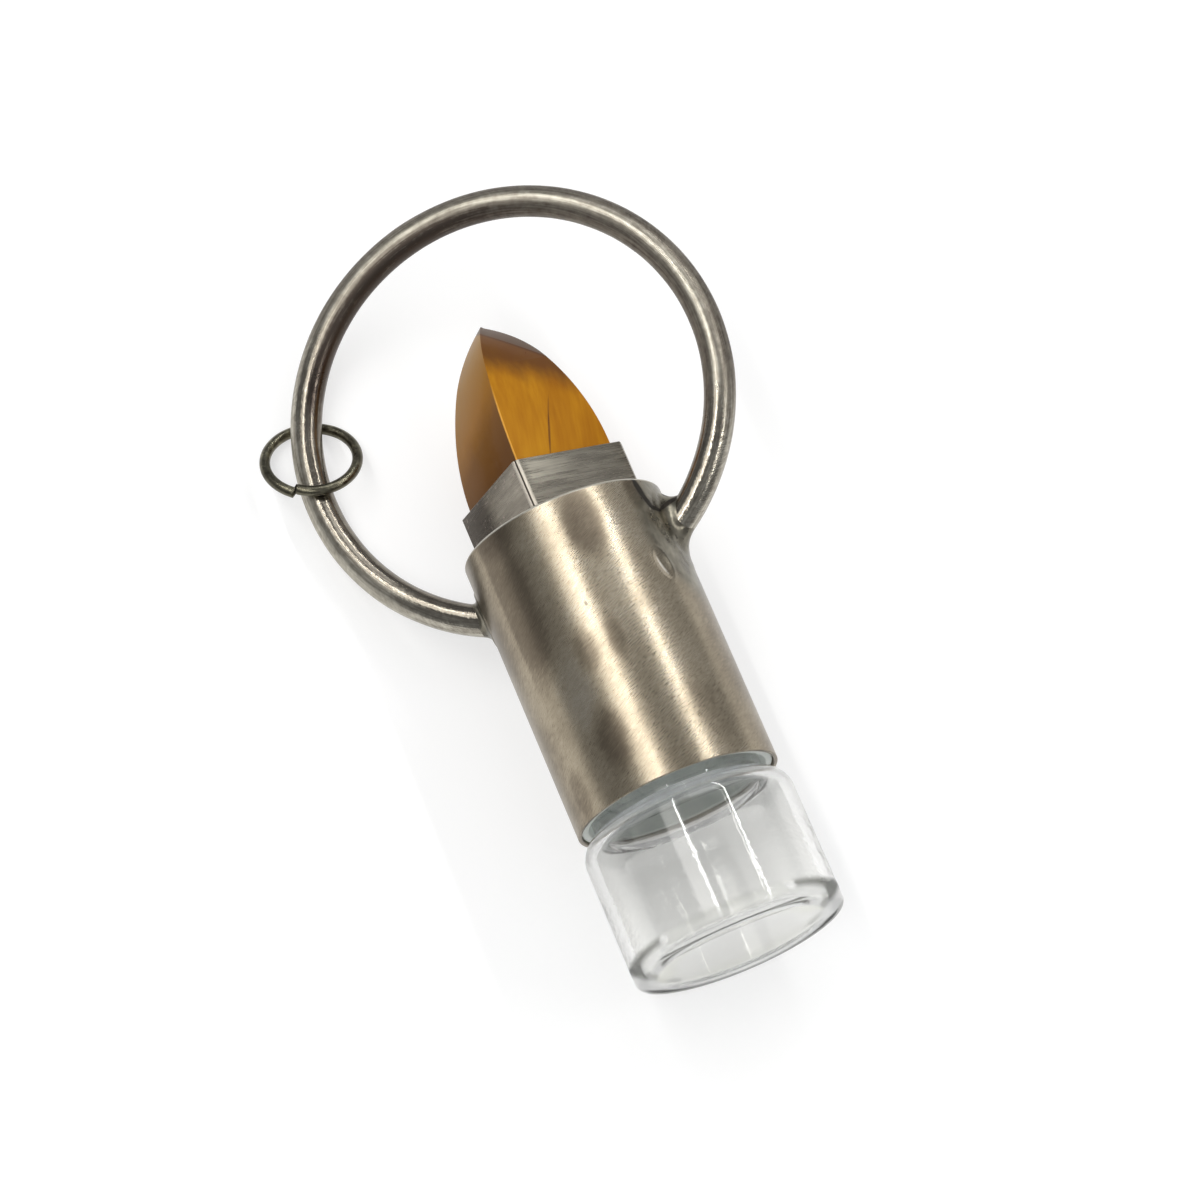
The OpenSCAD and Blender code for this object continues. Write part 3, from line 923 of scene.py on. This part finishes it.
def dimple_share(point):
    """How far a point is from the middle of the solder's dimple, 1 at its rim, and 9 off the outer wall."""
    if point.xy.length < CAP_R - 0.1:
        return 9.0
    around = math.atan2(point.x, -point.y) * CAP_R
    rise = point.z - DIMPLE_Z
    return math.hypot((around - DIMPLE_AROUND - rise * DIMPLE_LEAN) / DIMPLE_W, rise / DIMPLE_H)


def dimple_depth(share):
    """How deep the dimple is at a share of its size: a bowl inside 1, with a low bank round its rim."""
    bowl = max(0.0, 1 - share**2) ** 1.5
    bank = math.exp(-(((share - 1.05) / 0.2) ** 2))
    return DIMPLE_DEEP * (bowl - DIMPLE_RIM * bank)


def metal_cap():
    """The cap's tube, closed by a plate on top, with a bevelled rim, a softened mouth and a dimple."""
    deselect_all()
    tall = CAP_TOP - CAP_Z
    middle = (0, 0, (CAP_TOP + CAP_Z) / 2)
    bpy.ops.mesh.primitive_cylinder_add(vertices=ROUND, radius=CAP_R, depth=tall, location=middle)
    piece = named("metal_cap_tube")
    mode("EDIT")
    pick(piece, "faces", lambda face: face.normal.z < -0.9)
    bpy.ops.mesh.inset(thickness=CAP_WALL)
    bpy.ops.mesh.extrude_region_move(TRANSFORM_OT_translate={"value": (0, 0, tall - PLATE_T)})
    pick(piece, "edges", at_top)
    bpy.ops.mesh.bevel(offset=CAP_BEVEL, segments=4)
    pick(piece, "edges", at_mouth)
    bpy.ops.mesh.bevel(offset=CAP_MOUTH_BEVEL, segments=3)
    for i in range(DIMPLE_ROWS + 1):
        height = DIMPLE_Z + DIMPLE_H * 1.5 * (2 * i / DIMPLE_ROWS - 1)
        bpy.ops.mesh.select_all(action="SELECT")
        bpy.ops.mesh.bisect(plane_co=(0, 0, height), plane_no=(0, 0, 1))
    pick(piece, "faces", lambda face: dimple_share(face.calc_center_median()) < 1.8)
    bpy.ops.mesh.subdivide(number_cuts=1)
    mode("OBJECT")
    for vertex in piece.data.vertices:
        share = dimple_share(vertex.co)
        if share < 2:
            vertex.co.xy *= 1 - dimple_depth(share) / CAP_R
    return piece


def square_ring(half, flat, rounding, height):
    """Outline of a square turned corner-on, with flattened and softly rounded corners."""
    points = []
    reach = half * math.sqrt(2) - flat / 2
    for quarter in range(4):
        corner = math.tau * quarter / 4
        out = Vector((math.cos(corner), math.sin(corner)))
        side = Vector((-math.sin(corner), math.cos(corner)))
        for hand in (-1, 1):
            edge = out * reach + side * hand * flat / 2
            turns = (corner - math.pi / 4, corner) if hand < 0 else (corner, corner + math.pi / 4)
            ways = [Vector((math.cos(turn), math.sin(turn))) for turn in turns]
            middle = edge - (ways[0] + ways[1]) * rounding / (1 + ways[0].dot(ways[1]))
            for i in range(5):
                turn = turns[0] + (turns[1] - turns[0]) * i / 4
                spot = middle + Vector((math.cos(turn), math.sin(turn))) * rounding
                points.append((spot.x, spot.y, height))
    return points


def square_setting():
    """The square box that holds the stone, with flattened corners and a worn upper edge."""
    half = SETTING_W / 2
    inner = half - SETTING_WALL
    top = CAP_TOP + SETTING_H

    def outside(half_width, height):
        return square_ring(half_width, SETTING_FLAT, SETTING_ROUND, height)

    def pocket(half_width, height):
        return square_ring(half_width, POCKET_FLAT, POCKET_ROUND, height)

    rings = [outside(half, CAP_TOP - SETTING_SUNK)]
    rings += [outside(half, CAP_TOP + SETTING_H * i / 4) for i in range(4)]
    turns = [math.pi / 8 * i for i in range(5)]
    for turn in turns:
        away, below = 1 - math.cos(turn), 1 - math.sin(turn)
        rings.append(outside(half - SETTING_WORN * away, top - SETTING_WORN * below))
    for turn in turns[1:]:
        away, below = 1 - math.sin(turn), 1 - math.cos(turn)
        rings.append(pocket(inner + SETTING_WORN * away, top - SETTING_WORN * below))
    rings.append(pocket(inner, CAP_TOP + 0.02))
    return lofted("square_setting", rings)


def stone_half(height):
    """Half the stone's width at a height above the cap: straight, a long arc, then a tighter one."""
    rise = STONE_TURN - SETTING_H
    run = math.sqrt(STONE_CURVE**2 - rise**2)
    turn_w = STONE_W - STONE_CURVE + run
    left = STONE_H - STONE_TURN
    tip_curve = STONE_CURVE * (turn_w**2 + left**2) / (2 * (turn_w * run - left * rise))
    if height <= SETTING_H:
        return STONE_W
    if height <= STONE_TURN:
        return STONE_W - STONE_CURVE + math.sqrt(STONE_CURVE**2 - (height - SETTING_H) ** 2)
    drop = height - STONE_TURN + tip_curve * rise / STONE_CURVE
    inside = max(0.0, tip_curve**2 - drop**2)
    return max(0.02, turn_w - tip_curve * run / STONE_CURVE + math.sqrt(inside))


def past_bevel(x, height):
    """How far a point of the stone, or of its finish, lies past the lower edge of the grey bevel."""
    return (x - BEVEL_X) * BEVEL_WAY[0] + (height - BEVEL_H) * BEVEL_WAY[1]


def pointed_stone():
    """The four-sided pointed stone, with rounded ridges and a narrow bevel beside its tip."""
    deselect_all()
    tall = STONE_H - STONE_FOOT
    middle = (0, 0, CAP_TOP + STONE_FOOT + tall / 2)
    bpy.ops.mesh.primitive_cylinder_add(vertices=4, radius=math.sqrt(2), depth=tall, location=middle)
    piece = named("pointed_stone")
    mode("EDIT")
    pick(piece, "edges", lambda edge: abs(edge_way(edge).z) > 0.9)
    bpy.ops.mesh.subdivide(number_cuts=STONE_LEVELS)
    mode("OBJECT")
    for vertex in piece.data.vertices:
        share = (vertex.co.z - CAP_TOP - STONE_FOOT) / tall
        height = STONE_FOOT + tall * (1 - (1 - share) ** STONE_TIP_EASE)
        vertex.co.xy *= stone_half(height)
        vertex.co.x += max(0.0, height - SETTING_H) * math.tan(STONE_LEAN)
        vertex.co.z = CAP_TOP + height
    mode("EDIT")
    pick(piece, "faces", lambda face: face.normal.x > 0.2 and face.normal.y < -0.2)
    edge_point = (BEVEL_X, 0, CAP_TOP + BEVEL_H)
    bpy.ops.mesh.bisect(plane_co=edge_point, plane_no=(BEVEL_WAY[0], 0, BEVEL_WAY[1]))
    mode("OBJECT")
    for vertex in piece.data.vertices:
        on_right_ridge = abs(vertex.co.y) < 0.02 and vertex.co.x > BEVEL_X + 0.1
        past = past_bevel(vertex.co.x, vertex.co.z - CAP_TOP)
        if on_right_ridge and past > 0.02:
            vertex.co.y += min(BEVEL_PUSH, past * BEVEL_SLOPE)
    round_edges(piece, RIDGE_W, 4, math.radians(45))
    return piece


def in_cap(face):
    """Whether a face of the full hoop lies inside the cap, where the wire is left out."""
    middle = face.calc_center_median()
    return abs(middle.x) < WIRE_END_X and middle.z < CAP_TOP


def wire_hoop():
    """The hoop's wire, left open inside the cap, a little uneven by hand."""
    deselect_all()
    bpy.ops.mesh.primitive_torus_add(
        major_segments=360,
        minor_segments=40,
        major_radius=HOOP_R,
        minor_radius=WIRE_R,
        location=(0, 0, HOOP_Z),
        rotation=(math.pi / 2, 0, 0),
    )
    piece = named("wire_hoop")
    mode("EDIT")
    for side in (-1, 1):
        pick(piece, "faces", lambda face: face.calc_center_median().z < CAP_TOP)
        bpy.ops.mesh.bisect(plane_co=(side * WIRE_END_X, 0, 0), plane_no=(1, 0, 0))
    pick(piece, "faces", in_cap)
    bpy.ops.mesh.delete(type="FACE")
    for side in (-1, 1):
        pick(piece, "edges", lambda edge: edge.is_boundary and edge.verts[0].co.x * side > 0)
        bpy.ops.mesh.edge_face_add()
    mode("OBJECT")
    for vertex in piece.data.vertices:
        middle = Vector((vertex.co.x, 0, vertex.co.z - HOOP_Z)).normalized() * HOOP_R
        middle.z += HOOP_Z
        swell = noise.noise(vertex.co * 0.22) * HOOP_SWELL + noise.noise(vertex.co * 0.7) * HOOP_RIPPLE
        vertex.co += (vertex.co - middle).normalized() * swell
    return piece


def hoop_point(length):
    """Middle of the wire at a length from its joint with the cap, its way, and its outward side."""
    turn = math.asin(CAP_R / HOOP_R) + length / HOOP_R
    middle = Vector((HOOP_R * math.sin(turn), 0, HOOP_Z - HOOP_R * math.cos(turn)))
    way = Vector((math.cos(turn), 0, math.sin(turn)))
    side = Vector((-math.sin(turn), 0, math.cos(turn)))
    return middle, way, side


def on_cap(around, height, lift):
    """A point on the cap's wall, by its distance round the cap from the joint and its height."""
    turn = around / CAP_R
    out = CAP_R + lift
    return Vector((out * math.cos(turn), out * math.sin(turn), height))


def lobes(base, *gains):
    """A size that changes with the direction round the wire: a base, and gains near given directions."""

    def size(direction):
        total = base
        for middle, spread, gain in gains:
            total += gain * max(0.0, math.cos(direction - middle)) ** spread
        return total

    return size


def solder_fillet(name, side, reach, film, full, thick):
    """Solder that runs from the cap's wall up onto the wire.

    For a direction round the wire, reach and film give how far the fillet and the thin film run, and
    full gives how full the fillet is, from 0 for hollow to 1 for straight.
    """
    sides = 120
    film_steps = 16
    fillet_steps = 18
    inset_r = WIRE_R - SOLDER_INSET
    middle, way, up = hoop_point(0)
    rings = [[] for _ in range(film_steps + fillet_steps + 3)]
    for j in range(sides):
        direction = math.tau * j / sides
        y = inset_r * math.sin(direction)
        offset = inset_r * math.cos(direction)
        start = (math.sqrt(CAP_R**2 - y * y) - CAP_R - offset * up.x) / way.x
        corner = middle + up * offset + way * start
        corner.y = y

        # Along the cap's wall, from the film's edge to the fillet's foot
        on_wall = Vector((CAP_R * math.asin(y / CAP_R), corner.z - middle.z))
        outwards = on_wall.normalized()
        length = reach(direction)
        foot = on_wall + outwards * length
        edge = foot + outwards * film(direction)
        rings[0].append(on_cap(edge.x, middle.z + edge.y, -SOLDER_SUNK))
        for i in range(film_steps + 1):
            share = i / film_steps
            spot = edge.lerp(foot, share)
            lift = -0.01 + (thick + 0.01) * eased(share)
            lift += 0.04 * share * noise.noise(Vector((spot.x, spot.y, 3.0)) * 0.6)
            rings[1 + i].append(on_cap(spot.x, middle.z + spot.y, lift))

        # Up onto the wire, round the knee
        first = on_cap(foot.x, middle.z + foot.y, thick)
        end_middle, _, end_up = hoop_point(start + length)
        last = end_middle + end_up * offset * 1.01 + Vector((0, y * 1.01, 0))
        knee = corner + Vector((thick * 0.6, 0, 0))
        knee = knee.lerp((first + last) / 2, full(direction))
        for i in range(1, fillet_steps + 1):
            t = i / fillet_steps
            point = first * (1 - t) ** 2 + knee * 2 * t * (1 - t) + last * t * t
            wobble = 0.05 * math.sin(math.pi * t) * noise.noise(point * 0.9)
            rings[1 + film_steps + i].append(point + Vector((point.x, point.y, 0)).normalized() * wobble)
        rings[-1].append(end_middle + end_up * offset * 0.8 + Vector((0, y * 0.8, 0)))
    if side < 0:
        rings = [[Vector((-p.x, p.y, p.z)) for p in ring] for ring in rings]
    return lofted(name, rings)


# Directions round the wire at its joint: up, down and towards the viewer
UP = 0.0
DOWN = math.pi
FRONT = -math.pi / 2


def right_solder():
    """The broad fillet at the hoop's right end, which ran down and across the cap's wall."""
    reach = lobes(1.3, (UP, 2, 0.95), (DOWN, 2, 0.9))
    film = lobes(0.4, (UP, 2, 0.35), (FRONT, 1.5, 0.9), (DOWN, 1.5, 0.6))
    full = lobes(0.0, (UP, 1, 0.7))
    return solder_fillet("right_solder", 1, reach, film, full, thick=0.07)


def left_solder():
    """The small fillet at the hoop's left end."""
    reach = lobes(0.9, (UP, 2, 0.4), (DOWN, 2, 0.3))
    film = lobes(0.3, (FRONT, 1.5, 0.5))
    full = lobes(0.0, (UP, 1, 0.2))
    return solder_fillet("left_solder", -1, reach, film, full, thick=0.14)


def cut_ring():
    """The jump ring: round wire, cut once, with its two ends a little out of line."""
    tilt = math.asin((WIRE_R + RING_WIRE_R + RING_GAP) / (RING_R * math.cos(RING_TWIST)))
    turn = RING_PLACE + RING_TWIST
    deselect_all()
    bpy.ops.mesh.primitive_circle_add(
        vertices=28,
        radius=RING_WIRE_R,
        location=(RING_R, 0, 0),
        rotation=(math.pi / 2, 0, 0),
    )
    piece = named("cut_jump_ring")
    mode("EDIT")
    bpy.ops.mesh.select_all(action="SELECT")
    bpy.ops.mesh.spin(steps=160, angle=math.tau - RING_CUT, center=(0, 0, 0), axis=(0, 0, 1))
    pick(piece, "edges", lambda edge: edge.is_boundary)
    bpy.ops.mesh.edge_face_add()
    face_outwards()
    for vertex in piece.data.vertices:
        share = (math.atan2(vertex.co.y, vertex.co.x) % math.tau) / math.tau
        if share > FULL_TURN:
            share = 0.0

        # How far the wire is bent aside: 1 at one end, -1 at the other, and close to 0 between them
        opened = (1 - 2 * share) ** 5
        vertex.co.z += opened * RING_STEP / 2
        vertex.co.xy *= 1 - opened * RING_STEP / 2 / RING_R
    middle = Vector((-HOOP_R * math.cos(RING_PLACE), 0, HOOP_Z + HOOP_R * math.sin(RING_PLACE)))
    middle += Vector((math.cos(turn), 0, -math.sin(turn))) * RING_SHIFT
    place = Matrix.Translation(middle) @ Matrix.Rotation(turn, 4, "Y")
    place = place @ Matrix.Rotation(math.pi / 2 - tilt, 4, "X")
    piece.data.transform(place @ Matrix.Rotation(RING_CUT_AT + RING_CUT / 2, 4, "Z"))
    round_edges(piece, RING_END_BEVEL, 2, math.radians(60))
    return piece


# Studio

CAMERA_TARGET = (0.001626, -0.002463, 0.010638)
CAMERA_DISTANCE = 0.45
CAMERA_WAY = (0.18441, 0.29447, -0.9377)
CAMERA_ROLL = math.radians(10.59)
CAMERA_FOCUS_PX = 4558.2
CAMERA_NEAREST = 0.01
PHOTO_PX = 1181
SENSOR_MM = 36

FLOOR_SIZE = 4
WORLD_COLOUR = (0.95, 0.97, 1.0, 1)
WORLD_STRENGTH = 0.3
LAMP_LENGTH = 0.9

# Name, angle, distance, width, place along the pendant, power and colour, in metres and watts
LAMPS = (
    ("tube_left", -17, 0.55, 0.014, 0.12, 0.82, (1, 0.995, 0.98)),
    ("tube_right", 36.8, 0.55, 0.014, 0.12, 1.3, (1, 0.995, 0.98)),
    ("softbox", -24, 0.6, 0.2, 0.12, 1.42, (1, 0.988, 0.962)),
    ("card_right", 64, 0.8, 0.5, 0.12, 0.3, (1, 1, 1)),
    ("fill_far", 20, 1.3, 0.9, 1.0, 5.0, (0.97, 0.985, 1)),
)


def add_camera():
    """The camera of the photo, fitted to the outlines of the hoop, the cap and the vial."""
    data = bpy.data.cameras.new("camera")
    data.sensor_width = SENSOR_MM
    data.sensor_fit = "HORIZONTAL"
    data.lens = CAMERA_FOCUS_PX / PHOTO_PX * SENSOR_MM
    data.clip_start = CAMERA_NEAREST
    camera = added("camera", data)
    way = Vector(CAMERA_WAY).normalized()
    level = way.to_track_quat("-Z", "Y")
    camera.rotation_mode = "QUATERNION"
    camera.rotation_quaternion = level @ Quaternion((0, 0, 1), CAMERA_ROLL)
    camera.location = Vector(CAMERA_TARGET) - way * CAMERA_DISTANCE
    bpy.context.scene.camera = camera


def add_lamp(name, angle, distance, width, along, power, colour):
    """A long lamp in line with the pendant, at an angle from overhead towards +X."""
    data = bpy.data.lights.new(name, "AREA")
    data.shape = "RECTANGLE"
    data.size = width
    data.size_y = LAMP_LENGTH
    data.energy = power
    data.color = colour
    lamp = added(name, data)
    turn = math.radians(angle)
    lamp.location = (distance * math.sin(turn), along, distance * math.cos(turn))
    lamp.rotation_euler = (0, turn, 0)


def add_studio():
    """The floor, the lamps and the pale surroundings."""
    deselect_all()
    bpy.ops.mesh.primitive_plane_add(size=FLOOR_SIZE)
    floor = named("floor")
    floor.data.materials.append(floor_finish())
    for lamp in LAMPS:
        add_lamp(*lamp)
    world = bpy.data.worlds.new("studio")
    world.use_nodes = True
    background = world.node_tree.nodes["Background"]
    background.inputs["Color"].default_value = WORLD_COLOUR
    background.inputs["Strength"].default_value = WORLD_STRENGTH
    bpy.context.scene.world = world
    bpy.context.scene.view_settings.view_transform = "Standard"


# Making

add_camera()
add_studio()

silver = brushed_cap_finish()
laid_down(metal_cap(), "cap", silver, "antique_silver", "cap_frame")
laid_down(square_setting(), "cap", brushed_setting_finish(), "antique_silver")
laid_down(wire_hoop(), "cap", drawn_wire_finish(), "antique_silver")
laid_down(right_solder(), "cap", silver, "antique_silver")
laid_down(left_solder(), "cap", silver, "antique_silver")
laid_down(pointed_stone(), "cap", tiger_eye_finish(), "golden_stone", "stone")
laid_down(cut_ring(), "cap", jump_ring_finish(), "antique_bronze", "jump_ring")
grey = milky_plastic_finish("grey_inner_cap", INNER_CAP_GREY, painted_glow=0.13)
laid_down(inner_cap_piece(), "cap", grey, "grey_plastic", "inner_cap")
blue_grey = milky_plastic_finish("blue_grey_disc", DISC_BLUE_GREY, painted_glow=0.42)
laid_down(sealing_disc(), "seal", blue_grey, "blue_grey_plastic", "seal_disc")
laid_down(glass_vial(), "vial", clear_glass_finish(), "clear_glass", "vial")
